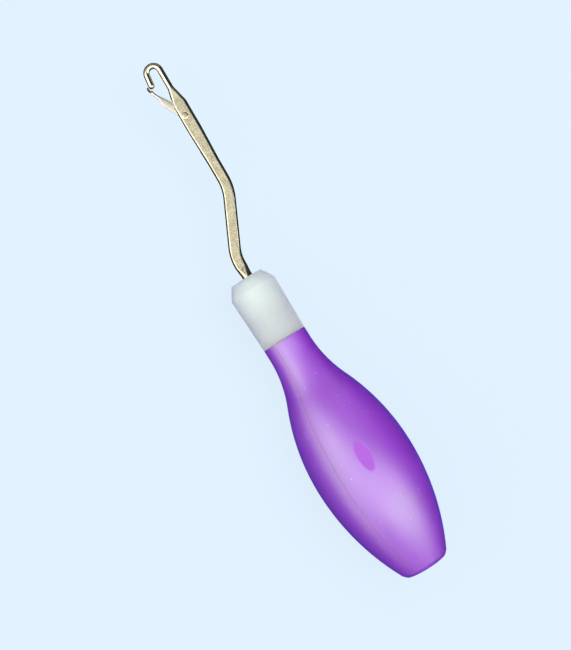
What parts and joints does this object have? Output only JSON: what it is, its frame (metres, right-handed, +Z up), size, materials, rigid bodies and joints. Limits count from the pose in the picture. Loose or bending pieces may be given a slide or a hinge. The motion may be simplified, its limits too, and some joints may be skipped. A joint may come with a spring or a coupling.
{
  "type": "latch hook tool",
  "caption": "Bent latch hook for rug canvas: cranked plated steel shank with an open hook and swinging latch, a translucent white ferrule and a purple bulb grip.",
  "frame": {"origin": "centre of the bounding box at the level that the belly of the grip lies on", "axes": "+X runs along the grip's axis from the hook to the butt, +Y points to the side that the shank is cranked to, and +Z points up"},
  "size_m": [0.165, 0.0304, 0.0305],
  "materials": {
    "plated_steel": "bright nickel plating on pressed steel wire",
    "latch_steel": "bright nickel plating on stamped sheet steel",
    "white_plastic": "milky translucent polypropylene, satin",
    "purple_plastic": "moulded purple plastic, soft gloss",
    "natural_plastic": "natural, uncoloured moulded plastic"
  },
  "bodies": {
    "handle": {"hook_shank": "plated_steel", "latch_rivet": "latch_steel", "ferrule": "white_plastic", "grip_shell_left": "purple_plastic", "grip_shell_right": "purple_plastic", "tang_block": "natural_plastic", "butt_plug": "purple_plastic"},
    "latch": {"latch": "latch_steel"}
  },
  "joints": [
    {"name": "latch_pivot", "type": "hinge", "parent": "handle", "child": "latch", "pos_m": [-0.06421, 0.00996, 0.01525], "axis": [0, 0, 1], "range_deg": [-1, 141]}
  ]
}
